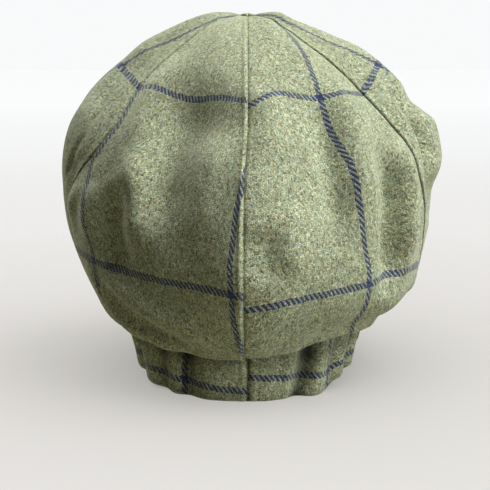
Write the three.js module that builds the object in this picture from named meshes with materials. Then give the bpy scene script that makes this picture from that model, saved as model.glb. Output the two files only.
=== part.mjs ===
// A baker boy cap: six puffed crown panels over a band that is gathered at the back, a stiff
// peak at the front and a small covered button on top.
// Millimetres. The front and the peak face -Y, +Z is up and the wearer's left is +X.
// The cap rests on its own: on the back of the band and on the front edge of the peak.
import * as THREE from "three";

// ---- driving dimensions -------------------------------------------------------------
const GAP = 0.3; // between two pieces that are sewn together
const CLOTH = 2; // tweed with its lining, folded seam allowances pressed in
const HEAD_AXIS = { x: 1.45, y: 17.65 }; // from the middle of the cap's overall length and width

// The band's outer face at its upper and lower edges, measured from the head's axis.
const BAND = {
  topHalfWidth: 82,
  topHalfDepth: 97,
  footHalfWidth: 75,
  footHalfDepth: 98,
  squareness: 2.3,
  height: 40,
  wall: 2.4,
  taper: 0.7,
};
const RIM_TILT = Math.tan(THREE.MathUtils.degToRad(8)); // the rim climbs towards the front
const RIM_FLAT_FROM = 86; // behind this line the rim lies flat on the surface
const BACK_BAND_END = 90; // degrees: where the gathered band meets the plain front band
const GATHERS_END = { round: [78, BACK_BAND_END], up: [0.55, 0.92] }; // towards ends and top

const PEAK = {
  halfSpan: 60,
  endMargin: 2.5,
  length: 58,
  thickness: 3.2,
  forward: 0.35,
  camber: 4,
  endLift: 11,
  endLiftFrom: 36, // degrees to each side of the middle
  restingShare: 0.93, // from here to its edge the peak lies on the surface
  rootUp: 0.12,
  seamEase: 0.15,
  roundness: 0.7,
};
const BUTTON = { radius: 6, edge: 0.6, rise: 2.9, foot: 231.5, rings: 5, sides: 20 };

// ---- the crown ----------------------------------------------------------------------
// One row for each level from the button down to the hem: how far the cloth stands from the
// axis and how high, at the back, at the sides and at the front, how far the panels puff out
// between their seams there, and how square the level is (2 is an ellipse).
const LEVELS = [
  row([0, 230], [0, 230], [0, 230], [0, 0, 0], 2),
  row([13, 228], [13, 230], [13, 230], [1, 2.5, 1.5], 2),
  row([26, 222], [27, 227.5], [26, 228], [2, 4, 2.5], 2),
  row([52, 201], [52, 213.5], [54, 217], [3, 7.5, 4], 2),
  row([77, 174], [77, 197], [82, 201], [3.5, 8.5, 5], 2),
  row([99, 145], [99, 176], [105, 181], [3.5, 8.5, 5], 2),
  row([114, 115], [113, 153], [121, 155], [3, 7, 5], 2),
  row([121, 87], [119, 124], [128, 128], [3, 5, 5], 2),
  row([120, 60], [117, 92], [128, 98], [3, 4, 4], 2),
  row([114, 40], [106, 62], [121, 72], [2, 3, 3], 2),
  row([106.5, 30], [95, 45], [112.5, 56], [1, 1.5, 2], 2.1),
  row([100, 31], [87, 40], [103, 53], [0, 0, 0], 2.2),
  row([97.3, 38], [82.3, 49], [97.3, 62], [0, 0, 0], 2.3),
];
const HEM = LEVELS.length - 1;
const LEVEL_STEP = 27; // the cloth between two levels, along the panel
const PANEL_WIDTH = 115; // the cloth across one panel where it is widest
const FULLEST = 110; // the crown's half width where it is fullest

// Each seam's place round the crown, 0 at the centre back, and how it wanders: the seams
// behind the ears slip forwards lower down, and the left one is tucked back below the shoulder.
const SEAMS = { side: 60, sideDrift: 12, front: 120, frontDrift: 4, leftTuck: 6 };
const SEAM_GROOVE = { depth: 2.2, halfWidth: 4 };
const EDGE_WIDTH = 10; // the panels' edges are cut square within this distance of a seam
const APEX = { lean: -5, untilLevel: 5 }; // the button sits a little forward of the head's axis

// The levels between which each feature of a panel comes in or dies away, from the button down.
const SPANS = {
  drift: [3.5, 8],
  tuckIn: [3.9, 5.1],
  tuckOut: [5.5, 7],
  grooveIn: [0, 2],
  grooveOut: [8.5, 11.5],
  puckerIn: [8, 9.6],
  puckerOut: [9.6, 11.6],
  foldsOut: [10.3, 11.8],
};

// The soft folds of the cloth: where each begins and ends (panels from the centre back, + on
// the wearer's left; level), its half width and how far it stands out (-) for a valley.
const FOLDS = [
  fold("crease under the left shoulder", [0.97, 4.3], [0.98, 6.3], 7, -4),
  fold("dip on the left of the back", [0.5, 3.6], [0.32, 5], 12, -3),
  fold("valley on the left", [0.72, 5.3], [0.62, 6.6], 9, -4),
  fold("swell on the left", [0.52, 5], [0.43, 6.9], 12, 3),
  fold("valley on the right", [-0.56, 4.9], [-0.45, 6.6], 9, -3.5),
  fold("valley by the right seam", [-0.86, 5.7], [-0.79, 7.7], 9, -4),
  fold("swell on the right", [-0.37, 4.1], [-0.24, 7], 13, 3),
  fold("ridge between the right valleys", [-0.66, 5.9], [-0.62, 7.3], 9, 2),
  fold("swell over the right ear", [-1.45, 5.4], [-1.4, 6.8], 20, 4.5),
  fold("sag behind the right ear", [-1.15, 8.1], [-1.3, 9.2], 20, 5.5),
  fold("slope above the right ear", [-1.5, 1.9], [-1.4, 3.2], 20, -3),
  fold("tuck over the right gathers", [-0.5, 10], [-0.92, 10], 15, -3),
];
const FOLD_ENDS = { in: [-0.3, 0.25], out: [0.75, 1.3] }; // shares of a fold's own length
const FOLD_NARROWING = [0.2, 1.05]; // how the cloth across a panel narrows towards the button

// The valleys that the elastic gathers into the back band: azimuth in degrees and depth.
const GATHERS = [
  [-80, 1.5],
  [-68, 2.2],
  [-56, 2.8],
  [-45, 3.2],
  [-34.5, 3.2],
  [-24, 4],
  [-13.3, 3],
  [10.6, 3],
  [20.6, 3],
  [34, 3.4],
  [45, 3.2],
  [56, 2.8],
  [68, 2.2],
  [80, 1.5],
];
const GATHER_HALF_WIDTH = 3.4; // degrees
const GATHER_SWELL = 1.6; // the gathered cloth stands out this far between its valleys
const HEM_PUCKER = 0.45; // share of the gathers that shows in the crown's hem

// ---- mesh steps ---------------------------------------------------------------------
const CROWN_ROWS = [
  0.42, 0.9, 1.4, 1.9, 2.5, 3.1, 3.7, 4.3, 4.9, 5.5, 6.1, 6.7, 7.3, 7.9, 8.5, 9, 9.5, 10, 10.4,
  10.8, 11.2, 11.6, 12,
];
const BACK_COLUMNS = [
  0, 0.03, 0.075, 0.13, 0.19, 0.26, 0.33, 0.4, 0.47, 0.54, 0.61, 0.68, 0.75, 0.82, 0.875, 0.93,
  0.97, 1,
];
const PLAIN_COLUMNS = [0, 0.04, 0.11, 0.2, 0.3, 0.4, 0.5, 0.6, 0.7, 0.8, 0.89, 0.96, 1];
const BAND_ROWS = [0, 0.2, 0.4, 0.6, 0.8, 1];
const BACK_BAND_STEPS = 36;
const FRONT_BAND_STEPS = 36;
const PEAK_STEPS = 24;
const PEAK_ROWS = [0, 0.16, 0.34, 0.52, 0.7, 0.85, PEAK.restingShare, 1];
const SMALL = { across: 0.004, along: 0.02, round: 0.2 }; // steps for the surface normals

// ---- tables and curves --------------------------------------------------------------
function row(back, side, front, puff, squareness) {
  return [...back, ...side, ...front, ...puff, squareness];
}

function fold(name, start, end, halfWidth, stand) {
  return { name, start, end, halfWidth, stand };
}

// From 0 before a span to 1 after it, and the other way round.
function rising([from, to], x) {
  return THREE.MathUtils.smoothstep(x, from, to);
}

function falling(span, x) {
  return 1 - rising(span, x);
}

function mix(a, b, share) {
  return a + (b - a) * share;
}

// The crown's table between its rows, as a smooth curve through them.
function levelAt(level) {
  const at = THREE.MathUtils.clamp(level, 0, HEM);
  const i = Math.min(Math.floor(at), HEM - 1);
  const t = at - i;
  const values = LEVELS[i].map((b, k) => {
    const c = LEVELS[i + 1][k];
    const a = i > 0 ? LEVELS[i - 1][k] : 2 * b - c;
    const d = i < HEM - 1 ? LEVELS[i + 2][k] : 2 * c - b;
    return 0.5 * (2 * b + (c - a) * t + (2 * a - 5 * b + 4 * c - d) * t * t
      + (3 * b - a - 3 * c + d) * t * t * t);
  });
  const [backReach, backHeight, sideReach, sideHeight, frontReach, frontHeight] = values;
  const [backPuff, sidePuff, frontPuff, squareness] = values.slice(6);
  return {
    backReach, backHeight, sideReach, sideHeight, frontReach, frontHeight,
    backPuff, sidePuff, frontPuff, squareness,
  };
}

// A level outline seen from above: its distance from the axis at an azimuth in radians.
function outline(azimuth, halfWidth, halfDepth, squareness) {
  const across = Math.abs(Math.sin(azimuth)) / Math.max(halfWidth, 1e-3);
  const along = Math.abs(Math.cos(azimuth)) / Math.max(halfDepth, 1e-3);
  return (across ** squareness + along ** squareness) ** (-1 / squareness);
}

// A point of the cap in the part's own frame, from its place round the head's axis.
function place(azimuth, radius, y, height) {
  return new THREE.Vector3(radius * Math.sin(azimuth), radius * Math.cos(azimuth) + y, height);
}

// ---- crown surface: across counts panels from the centre back, along counts levels ----
function crownAzimuth(across, level) {
  const drift = rising(SPANS.drift, level);
  const tucked = across > 0 ? rising(SPANS.tuckIn, level) * falling(SPANS.tuckOut, level) : 0;
  const side = SEAMS.side + SEAMS.sideDrift * drift - SEAMS.leftTuck * tucked;
  const front = SEAMS.front + SEAMS.frontDrift * drift;
  const seams = [0, side, front, 180];
  const count = Math.abs(across);
  const panel = Math.min(Math.floor(count), 2);
  const degrees = mix(seams[panel], seams[panel + 1], count - panel);
  return THREE.MathUtils.degToRad(degrees) * (across < 0 ? -1 : 1);
}

function sideShare(azimuth) {
  return Math.sin(azimuth) ** 4;
}

function smoothCrown(across, level) {
  const at = levelAt(level);
  const azimuth = crownAzimuth(across, level);
  const behind = Math.cos(azimuth) > 0;
  const reach = behind ? at.backReach : at.frontReach;
  const height = mix(behind ? at.backHeight : at.frontHeight, at.sideHeight, sideShare(azimuth));
  const lean = APEX.lean * (1 - Math.min(level / APEX.untilLevel, 1)) ** 2;
  const radius = outline(azimuth, at.sideReach, reach, at.squareness);
  return place(azimuth, radius, lean, height);
}

// The distance over the cloth to the nearest seam.
function toSeam(across, level) {
  return Math.abs(across - Math.round(across)) * (Math.PI / 3) * levelAt(level).sideReach;
}

function foldStand(across, level, reach) {
  const narrowing = THREE.MathUtils.clamp(reach / FULLEST, ...FOLD_NARROWING);
  const cloth = new THREE.Vector2(PANEL_WIDTH, LEVEL_STEP);
  const onCloth = ([x, y], [fromX, fromY]) => new THREE.Vector2(x - fromX, y - fromY).multiply(cloth);
  return FOLDS.reduce((sum, { start, end, halfWidth, stand }) => {
    const run = onCloth(end, start);
    const length = run.length();
    run.divideScalar(length);
    const here = onCloth([across, level], start);
    here.x *= narrowing;
    const share = here.dot(run) / length;
    const aside = here.cross(run) / halfWidth;
    const fade = rising(FOLD_ENDS.in, share) * falling(FOLD_ENDS.out, share);
    return sum + stand * fade * Math.exp(-(aside ** 2));
  }, 0);
}

function gather(azimuth) {
  const degrees = THREE.MathUtils.radToDeg(azimuth);
  return GATHERS.reduce(
    (sum, [at, depth]) => sum - depth * Math.exp(-(((degrees - at) / GATHER_HALF_WIDTH) ** 2)),
    0,
  );
}

// How far the cloth stands off the smooth crown: puffed panels, seam grooves, folds, puckers.
function crownStand(across, level) {
  const at = levelAt(level);
  const azimuth = crownAzimuth(across, level);
  const ends = Math.cos(azimuth) > 0 ? at.backPuff : at.frontPuff;
  const puff = mix(ends, at.sidePuff, sideShare(azimuth)) * Math.sin(Math.PI * across) ** 2;
  const groove = SEAM_GROOVE.depth * Math.exp(-toSeam(across, level) / SEAM_GROOVE.halfWidth)
    * rising(SPANS.grooveIn, level) * falling(SPANS.grooveOut, level);
  const pucker = HEM_PUCKER * gather(azimuth)
    * rising(SPANS.puckerIn, level) * falling(SPANS.puckerOut, level);
  const folds = foldStand(across, level, at.sideReach) * falling(SPANS.foldsOut, level);
  return puff - groove + pucker + folds;
}

function crownPoint(across, level) {
  const out = normalOf(smoothCrown, across, level, HEM, SMALL.across);
  return smoothCrown(across, level).addScaledVector(out, crownStand(across, level));
}

// The outward normal of a surface given by two numbers, the second from 0 to an end.
function normalOf(surface, u, v, vEnd, uStep) {
  const low = Math.max(v - SMALL.along, 0);
  const high = Math.min(v + SMALL.along, vEnd);
  const across = surface(u + uStep, v).sub(surface(u - uStep, v));
  const along = surface(u, high).sub(surface(u, low));
  return across.cross(along).normalize();
}

// ---- band surface: round in degrees from the centre back, up from 0 to 1 ---------------
function rimPlane(y) {
  return RIM_TILT * (RIM_FLAT_FROM - y);
}

function bandPoint(round, up) {
  const azimuth = THREE.MathUtils.degToRad(round);
  const open = Math.max(up, 0) ** BAND.taper;
  const halfWidth = mix(BAND.footHalfWidth, BAND.topHalfWidth, open);
  const halfDepth = mix(BAND.footHalfDepth, BAND.topHalfDepth, open);
  const radius = outline(azimuth, halfWidth, halfDepth, BAND.squareness);
  const rim = rimPlane(radius * Math.cos(azimuth));
  const gathered = falling(GATHERS_END.round, Math.abs(round)) * falling(GATHERS_END.up, up);
  const stand = gathered * (gather(azimuth) + GATHER_SWELL);
  return place(azimuth, radius + stand, 0, mix(Math.max(rim, 0), rim + BAND.height, up));
}

// The band's own wall runs level inwards, so that its edges stay flat.
function bandInside(round, up) {
  const along = bandPoint(round + SMALL.round, up).sub(bandPoint(round - SMALL.round, up));
  const inwards = new THREE.Vector3(along.y, -along.x, 0).normalize();
  return bandPoint(round, up).addScaledVector(inwards, BAND.wall);
}

// ---- solids -------------------------------------------------------------------------
// A closed body between two grids of points, the outer one and the inner one.
function shell(outer, inner) {
  const rows = outer.length;
  const columns = outer[0].length;
  const points = [...outer.flat(), ...inner.flat()];
  const faces = [];
  const o = (i, j) => i * columns + j;
  const n = (i, j) => rows * columns + i * columns + j;
  const quad = (a, b, c, d) => faces.push(a, b, c, a, c, d);
  for (let i = 0; i < rows - 1; i++) {
    for (let j = 0; j < columns - 1; j++) {
      quad(o(i, j), o(i, j + 1), o(i + 1, j + 1), o(i + 1, j));
      quad(n(i, j), n(i + 1, j), n(i + 1, j + 1), n(i, j + 1));
    }
    quad(o(i, 0), o(i + 1, 0), n(i + 1, 0), n(i, 0));
    quad(o(i, columns - 1), n(i, columns - 1), n(i + 1, columns - 1), o(i + 1, columns - 1));
  }
  for (let j = 0; j < columns - 1; j++) {
    quad(o(0, j), n(0, j), n(0, j + 1), o(0, j + 1));
    quad(o(rows - 1, j), o(rows - 1, j + 1), n(rows - 1, j + 1), n(rows - 1, j));
  }
  const geometry = new THREE.BufferGeometry().setFromPoints(points);
  geometry.setIndex(faces);
  geometry.computeVertexNormals();
  return geometry;
}

// One crown panel from one seam to the next. Its edges are cut square to the smooth crown, half
// a gap from the seam, so that neighbours lie side by side, and its inner face follows suit.
function crownPanel(firstSeam, columns) {
  const outer = [];
  const inner = [];
  for (const level of CROWN_ROWS) {
    const face = [];
    const back = [];
    for (const share of columns) {
      const across = firstSeam + share;
      const square = normalOf(smoothCrown, across, level, HEM, SMALL.across);
      const out = normalOf(crownPoint, across, level, HEM, SMALL.across);
      const point = crownPoint(across, level);
      if (share === 0 || share === 1) {
        const above = smoothCrown(across, level - SMALL.along);
        const aside = smoothCrown(across, level).sub(above).cross(square).normalize();
        point.addScaledVector(aside, share === 0 ? GAP / 2 : -GAP / 2);
      }
      const inwards = square.lerp(out, rising([0, EDGE_WIDTH], toSeam(across, level))).normalize();
      face.push(point);
      back.push(point.clone().addScaledVector(inwards, -CLOTH));
    }
    outer.push(face);
    inner.push(back);
  }
  return shell(outer, inner);
}

// A stretch of the band. Its ends stand half a gap from the next stretch.
function bandStretch(from, to, steps) {
  const trim = THREE.MathUtils.radToDeg(GAP / 2 / BAND.footHalfWidth);
  const round = Array.from({ length: steps + 1 }, (_, k) => mix(from + trim, to - trim, k / steps));
  const rows = [...BAND_ROWS].reverse();
  return shell(
    rows.map((up) => round.map((degrees) => bandPoint(degrees, up))),
    rows.map((up) => round.map((degrees) => bandInside(degrees, up))),
  );
}

// The peak starts against the front band's outer face, slopes down and lies along its front
// edge on the surface that the cap rests on.
function peakPoint(aside, share, above) {
  const azimuth = Math.PI + THREE.MathUtils.degToRad(aside);
  const rim = bandPoint(180 + aside, 0).z;
  const root = bandPoint(180 + aside, PEAK.rootUp);
  const radial = new THREE.Vector3(Math.sin(azimuth), Math.cos(azimuth), 0);
  const forward = radial.clone().lerp(new THREE.Vector3(0, -1, 0), PEAK.forward).normalize();
  const turn = (aside / (PEAK.halfSpan + PEAK.endMargin)) * (Math.PI / 2);
  const width = Math.cos(turn) ** PEAK.roundness;
  const edge = PEAK.endLift * rising([PEAK.endLiftFrom, PEAK.halfSpan], Math.abs(aside));
  const fallen = Math.min(share / PEAK.restingShare, 1);
  const camber = PEAK.camber * width * Math.sin(Math.PI * fallen);
  const height = mix(rim, edge, fallen) + camber + above;
  return root
    .addScaledVector(radial, GAP + PEAK.seamEase)
    .addScaledVector(forward, PEAK.length * width * share)
    .setZ(height);
}

function peak() {
  const aside = Array.from({ length: PEAK_STEPS + 1 }, (_, k) =>
    mix(-PEAK.halfSpan, PEAK.halfSpan, k / PEAK_STEPS));
  return shell(
    PEAK_ROWS.map((share) => aside.map((degrees) => peakPoint(degrees, share, PEAK.thickness))),
    PEAK_ROWS.map((share) => aside.map((degrees) => peakPoint(degrees, share, 0))),
  );
}

// A small dome with a flat foot.
function button() {
  const { radius, edge, rise, foot, rings, sides } = BUTTON;
  const dome = Array.from({ length: rings }, (_, k) => {
    const turn = (k / rings) * (Math.PI / 2);
    return new THREE.Vector2(radius * Math.cos(turn), edge + (rise - edge) * Math.sin(turn));
  });
  const profile = [
    new THREE.Vector2(0, 0),
    new THREE.Vector2(radius, 0),
    ...dome,
    new THREE.Vector2(0, rise),
  ];
  const geometry = new THREE.LatheGeometry(profile, sides);
  geometry.rotateX(Math.PI / 2);
  geometry.translate(0, APEX.lean, foot);
  return geometry;
}

// ---- materials ----------------------------------------------------------------------
function tweed() {
  return new THREE.MeshStandardMaterial({ color: 0x8f9877, roughness: 0.95, metalness: 0 });
}

function named(name, geometry) {
  const mesh = new THREE.Mesh(geometry, tweed());
  mesh.name = name;
  mesh.position.set(HEAD_AXIS.x, HEAD_AXIS.y, 0);
  return mesh;
}

const group = new THREE.Group();
group.name = "baker_boy_cap";
group.add(
  named("crown_back_left", crownPanel(0, BACK_COLUMNS)),
  named("crown_back_right", crownPanel(-1, BACK_COLUMNS)),
  named("crown_side_left", crownPanel(1, PLAIN_COLUMNS)),
  named("crown_side_right", crownPanel(-2, PLAIN_COLUMNS)),
  named("crown_front_left", crownPanel(2, PLAIN_COLUMNS)),
  named("crown_front_right", crownPanel(-3, PLAIN_COLUMNS)),
  named("band_back_left", bandStretch(0, BACK_BAND_END, BACK_BAND_STEPS)),
  named("band_back_right", bandStretch(-BACK_BAND_END, 0, BACK_BAND_STEPS)),
  named("band_front", bandStretch(BACK_BAND_END, 360 - BACK_BAND_END, FRONT_BAND_STEPS)),
  named("peak", peak()),
  named("top_button", button()),
);

export default group;
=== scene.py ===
"""A baker boy cap in green windowpane tweed, resting on a pale floor and seen from behind.

Lengths are in millimetres until a mesh is made. +Z is up, the peak faces -Y and the wearer's
left is +X. A place on the crown is given by across, which counts panels from the centre back
(+ on the wearer's left), and level, which runs from 0 at the button to 12 at the hem.
"""
import math

import bpy
import numpy as np
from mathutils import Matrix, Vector


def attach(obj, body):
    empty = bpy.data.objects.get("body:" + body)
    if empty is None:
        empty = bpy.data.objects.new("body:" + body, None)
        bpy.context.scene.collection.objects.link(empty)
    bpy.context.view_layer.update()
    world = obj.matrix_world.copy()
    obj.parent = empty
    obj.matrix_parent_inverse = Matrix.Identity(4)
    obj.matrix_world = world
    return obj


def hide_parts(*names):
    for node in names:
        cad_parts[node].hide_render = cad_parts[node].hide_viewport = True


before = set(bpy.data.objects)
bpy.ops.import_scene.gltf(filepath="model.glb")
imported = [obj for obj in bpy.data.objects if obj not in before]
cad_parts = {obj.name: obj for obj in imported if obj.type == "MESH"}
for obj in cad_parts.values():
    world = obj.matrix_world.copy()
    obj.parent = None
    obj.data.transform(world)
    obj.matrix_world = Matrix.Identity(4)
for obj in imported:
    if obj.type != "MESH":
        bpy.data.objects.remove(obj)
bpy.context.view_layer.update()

# ---- the cap's dimensions ----
HEAD_AXIS = np.array([1.45, 17.65, 0.0])  # from the middle of the cap's length and width
CLOTH = 2.0  # the thickness of the crown
LINED_WALL = 2.4  # and of the band
RIM_TILT = math.tan(math.radians(8))  # the rim climbs towards the front
RIM_FLAT_FROM = 86  # behind this line it lies flat on the floor
# The band's half width and half depth at its top and its foot, and its height. It goes round
# by degrees from the centre back.
BAND = dict(top=(82, 97), foot=(75, 98), squareness=2.3, height=40, taper=0.7,
            mm_per_degree=1.55, edge_roll=1.6)
BACK_BAND_END = 90
# Spans are degrees from the middle of the front; resting and root_up are shares of the peak's
# length and of the band's height; forward turns it from the radial direction to straight on.
PEAK = dict(half_span=60, end_margin=2.5, length=58, thickness=3.2, forward=0.35, camber=4,
            end_lift=11, end_lift_from=36, resting=0.93, root_up=0.12, seam=0.45, round=0.7,
            mm_per_degree=1.6, edge_roll=1.7, wear=2.2)
PEAK_UNEVEN = (14, 0.18, 21)  # size, amount, seed
# run: the share of the pitch over which the thread shows.
STITCHES = dict(from_edge=5.5, pitch=3.1, run=0.76, half_width=0.42, sunk=0.22, sunk_width=0.7)
# cover, tuck and core are shares of its size; edge_at is one of the way over and under it.
BUTTON = dict(radius=6, cover=0.75, foot=231.5, sunk=3, rise=1.3, lower=0.8, edge_at=0.7,
              gathers=9, gather=0.14, tuck=0.12, dent=0.08, core=0.7, plain_cloth=30)

# One row for each level of the crown: reach and height at the back, at the sides and at the
# front; how far the panels puff out there; squareness (2 is an ellipse).
LEVELS = np.array([
    [0, 230, 0, 230, 0, 230, 0, 0, 0, 2],
    [13, 228, 13, 230, 13, 230, 1, 2.5, 1.5, 2],
    [26, 222, 27, 227.5, 26, 228, 2, 4, 2.5, 2],
    [52, 201, 52, 213.5, 54, 217, 3, 7.5, 4, 2],
    [77, 174, 77, 197, 82, 201, 3.5, 8.5, 5, 2],
    [99, 145, 99, 176, 105, 181, 3.5, 8.5, 5, 2],
    [114, 115, 113, 153, 121, 155, 3, 7, 5, 2],
    [121, 87, 119, 124, 128, 128, 3, 5, 5, 2],
    [120, 60, 117, 92, 128, 98, 3, 4, 4, 2],
    [114, 40, 106, 62, 121, 72, 2, 3, 3, 2],
    [106.5, 30, 95, 45, 112.5, 56, 1, 1.5, 2, 2.1],
    [100, 31, 87, 40, 103, 53, 0, 0, 0, 2.2],
    [97.3, 38, 82.3, 49, 97.3, 62, 0, 0, 0, 2.3],
])
HEM = len(LEVELS) - 1
LEVEL_STEP = 27  # about the cloth between two levels in the crown's middle
PANEL_WIDTH = 115  # the cloth across a panel where the crown's half width is FULL_REACH
FULL_REACH = 110
APEX = dict(lean=-5, until=5)  # the button sits forward of the head's axis

# Degrees round the crown from the centre back to each seam, and how far the seams wander.
SEAMS = dict(side=60, side_drift=12, front=120, front_drift=4, left_tuck=6, right_tuck=4.5,
             centre_wander=1.15, centre_reach=0.07)
DRIFT_OVER = (3.5, 8)  # levels
# The levels between which a feature of the crown comes in, and those where it dies away.
SPANS = dict(
    left_tuck=(3.9, 5.1, 5.5, 7), right_tuck=(5.8, 7, 8.6, 10), centre_wander=(4.3, 5.8, 9, 11),
    overhang=(7.8, 9.3, 10.3, 12), groove=(0, 2, 8.5, 11.5), pucker=(8, 9.6, 9.6, 11.6),
    detail=(0.3, 1.6, 10.5, 11.6), wider_line=(5.9, 6.3, 7.1, 7.5))
FOLDS_END = (10.3, 11.8)  # the levels over which the folds die away
# Where the overhang above the band rises or hangs: across, half width in panels, lift.
OVERHANG = np.array([[-0.44, 0.21, 5], [0.62, 0.2, 2], [0.06, 0.24, -2.5]])

# The seams' looks, each by the nearest seam: the left and the right side of the centre back,
# the seams on the wearer's left and those on the right.
GROOVE = dict(depth=1.6, half_width=4.0, share=(0.25, 0.9, 0.3, 1))
ROLLED_EDGE = dict(from_seam=1.7, half_width=1.3, stand=(1.0, 0.0, 0.25, 0.25))
PRESSED_EDGE = dict(half_width=0.8, depth=(0.35, 0.35, 0.7, 1.2))
# SEAM_SHADE is painted shade in the seams' grooves: its half width, the levels over which it widens,
# and its depth.
SEAM_SHADE = dict(half_width=0.95, wider_over=(5, 7), depth=(0.3, 0.3, 0.6, 1.6))
SEAM_WEAR = dict(from_seam=1.9, half_width=1.6, over=(0.5, 2))
SEAM_PUCKER = (0.35, 6, 3.1, 0.5, 3)  # depth, reach, puckers per level and per panel, seed
# Unevenness of worn cloth: size across and along, amount, seed.
UNEVEN = [(31, 37, 0.55, 1), (13, 15, 0.28, 2), (5.5, 6, 0.1, 5)]
UNEVEN_FROM_SEAM = 12  # the distance from a seam at which it is full

# Folds of the cloth: start (across, level), end, half width and how far it stands out.
FOLDS = np.array([
    [0, 3.2, 0, 8.8, 17, 5],  # the back stands out along its centre seam
    [0, 3.35, 0, 8.6, 33, 7],
    [-0.13, 3.9, -0.11, 5.0, 12, 3],
    [0.52, 3.6, 0.5, 8.2, 30, -4.5],  # and is flat on the left
    [-0.5, 3.8, -0.45, 8.2, 28, -4],  # and on the right
    [0.42, 4.25, 0.01, 4.6, 14, -6],  # hollow below the upper check on the left
    [0.5, 3.9, 0.44, 6.3, 14, -7],  # long valley on the left
    [0.7, 5.3, 0.45, 6.6, 12, 7.5],  # ridge beside it
    [0.2, 4.9, 0.2, 6.4, 9, 2.5],
    [0.67, 6.05, 0.54, 7.4, 9, -6.5],  # hollow below the left shoulder
    [0.84, 6.3, 0.74, 7.2, 9, 2.5],  # and a soft ridge outside it
    [0.8, 3.4, 0.78, 5.2, 12, 4.4],  # the cloth by the left seam stands out above it
    [1.35, 4.2, 1.1, 5.9, 10, 2],  # fold over the left ear
    [-0.5, 4.25, -0.36, 6.4, 9, -5.5],  # long valley on the right
    [-0.8, 3.9, -0.5, 6.2, 12, 6.5],  # ridge beside it
    [-0.76, 5.6, -0.68, 7.8, 8.5, -11],  # valley by the right seam
    [-0.9, 5.7, -0.79, 7.6, 9, 6.5],  # ridge beside it
    [-1.0, 6.6, -1.0, 8.2, 9, 1.8],  # the right seam stands out below it
    [-1.25, 6.9, -1.22, 7.6, 13, -4],
    [-0.18, 6.0, -0.18, 7.1, 8, 3],  # soft swell beside the dent
    [-0.07, 6.5, -0.07, 7.2, 7, -3.6],  # dent by the centre
    [-1.45, 5.55, -1.38, 6.9, 19, 6.7],  # swell over the right ear
    [-1.15, 8.8, -1.3, 9.4, 18, 4.5],  # sag behind the right ear
    [-1.5, 1.9, -1.4, 3.2, 20, -3],  # slope above the right ear
    [-1.42, 4.9, -1.36, 5.6, 14, -4],
    [1.34, 3.8, 1.32, 5.0, 18, -3],  # and above the left ear
    [1.12, 6.3, 1.0, 7.0, 9, -3],
    [0.9, 6.95, 1.05, 6.95, 12, 3.5],
    [-1.2, 4.3, -1.02, 6.9, 8, 3],  # fold over the right ear
    [-1.3, 4.6, -1.12, 6.9, 9, -9],  # hollow behind it
    [-0.65, 8.75, -1.1, 8.8, 18, 5.5],  # swell above the right gathers
    [-0.2, 9.5, -0.9, 9.5, 22, -5],  # tuck over the right gathers
    [0.62, 7.8, 0.22, 8.6, 7, 3.5],  # low folds on the left
    [0.66, 8.15, 0.3, 9.2, 7, -4],
    [0.73, 8.1, 0.45, 9.6, 8, 3.5],
])
# Smaller creases that only the eye needs, in the same form.
CREASES = np.array([
    [1.45, 5.2, 1.7, 6.4, 9, -1.6],
    [1.6, 7.0, 1.25, 8.4, 10, -1.4],
    [-1.7, 6.9, -1.5, 8.6, 10, -1.6],
    [2.3, 5.2, 2.6, 6.8, 10, -1.6],
    [-2.4, 5.0, -2.2, 6.9, 10, -1.5],
    [2.6, 8.2, 2.2, 8.8, 9, -1.0],
    [1.36, 3.95, 1.15, 5.4, 3.2, -2.4],  # sharp crease over the left ear
    [1.14, 5.6, 1.16, 6.7, 3.2, -1.2],
])
# Valleys that the elastic gathers into the back band: azimuth in degrees at its top and at its
# foot, half width in degrees, and depth at its top and at its foot.
GATHERS = np.array([
    [-82, -82, 5, 1.5, 1.5], [-71, -71, 5, 2.4, 2.2], [-60, -59, 5, 2.8, 2.6],
    [-48, -46, 4.5, 3.2, 2.8], [-35, -33, 4, 2.8, 2.2], [-22.5, -18.5, 4.4, 5.4, 3.6],
    [-9, -11, 3, 0.8, 0.8], [21, 23, 4.8, 4.6, 2.6], [32.5, 34, 4, 4.4, 2.4],
    [50, 51, 4.5, 3.4, 2.8], [67, 67, 5.5, 2.8, 2.4], [80, 80, 5, 1.5, 1.5],
])
GATHER_SWELL = 1.6  # how far the band stands out between them, in the table's measure
GATHER_SWAY = dict(degrees=0.8, with_height=4.2, with_degrees=17)
GATHERS_END = dict(degrees=(78, BACK_BAND_END), up=(0.7, 0.97))
GATHER_STAND = 1.75  # what the table's measure is multiplied by
HEM_PUCKER = 0.45  # share of the gathers that goes on into the crown's hem
FOLD_COMES, FOLD_GOES = (-0.3, 0.25), (0.75, 1.3)  # shares of a fold's own length
FOLD_NARROWING = (0.2, 1.05)  # the limits of a panel's width, as shares of PANEL_WIDTH

# How the elastic draws the band's sides in: degrees, half width, depth, and from where to
# where it fades upwards. The front of the band counts on past 180 degrees, so its right end
# isn't drawn in, and stands up to 4.7 mm outside the end of the back: a known gap.
DRAWN_IN = [(-78, 30, 5.5, 0.3, 1.0), (80, 28, 4.5, 0.2, 0.8)]
# How the rim rises under the right gathers, by degrees.
RIM_LIFT = dict(height=4.5, rises=(-88, -62), falls=(-37, -30.5))
# The dip at a seam of the band and the swell beside it: how far in, distance, half width.
BAND_SEAM = [(1.1, 0, 1.2), (-0.35, 2.6, 1.5)]
# The band's painted shade, by what would cast it. Spans are shares of its height.
BAND_SHADE = dict(seam=0.9, gathers=0.5, deepest=2.4, top=0.5, top_from=(0.42, 0.66), foot=0.7,
                  foot_until=(0.02, 0.19))
BAND_WEAR = dict(up=1.0, half_width=1.6)
# Unevenness of the band: degrees, height, amount, seed.
BAND_UNEVEN = [(2.6, 16, 0.3, 11), (5.0, 9, 0.22, 12)]

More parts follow.
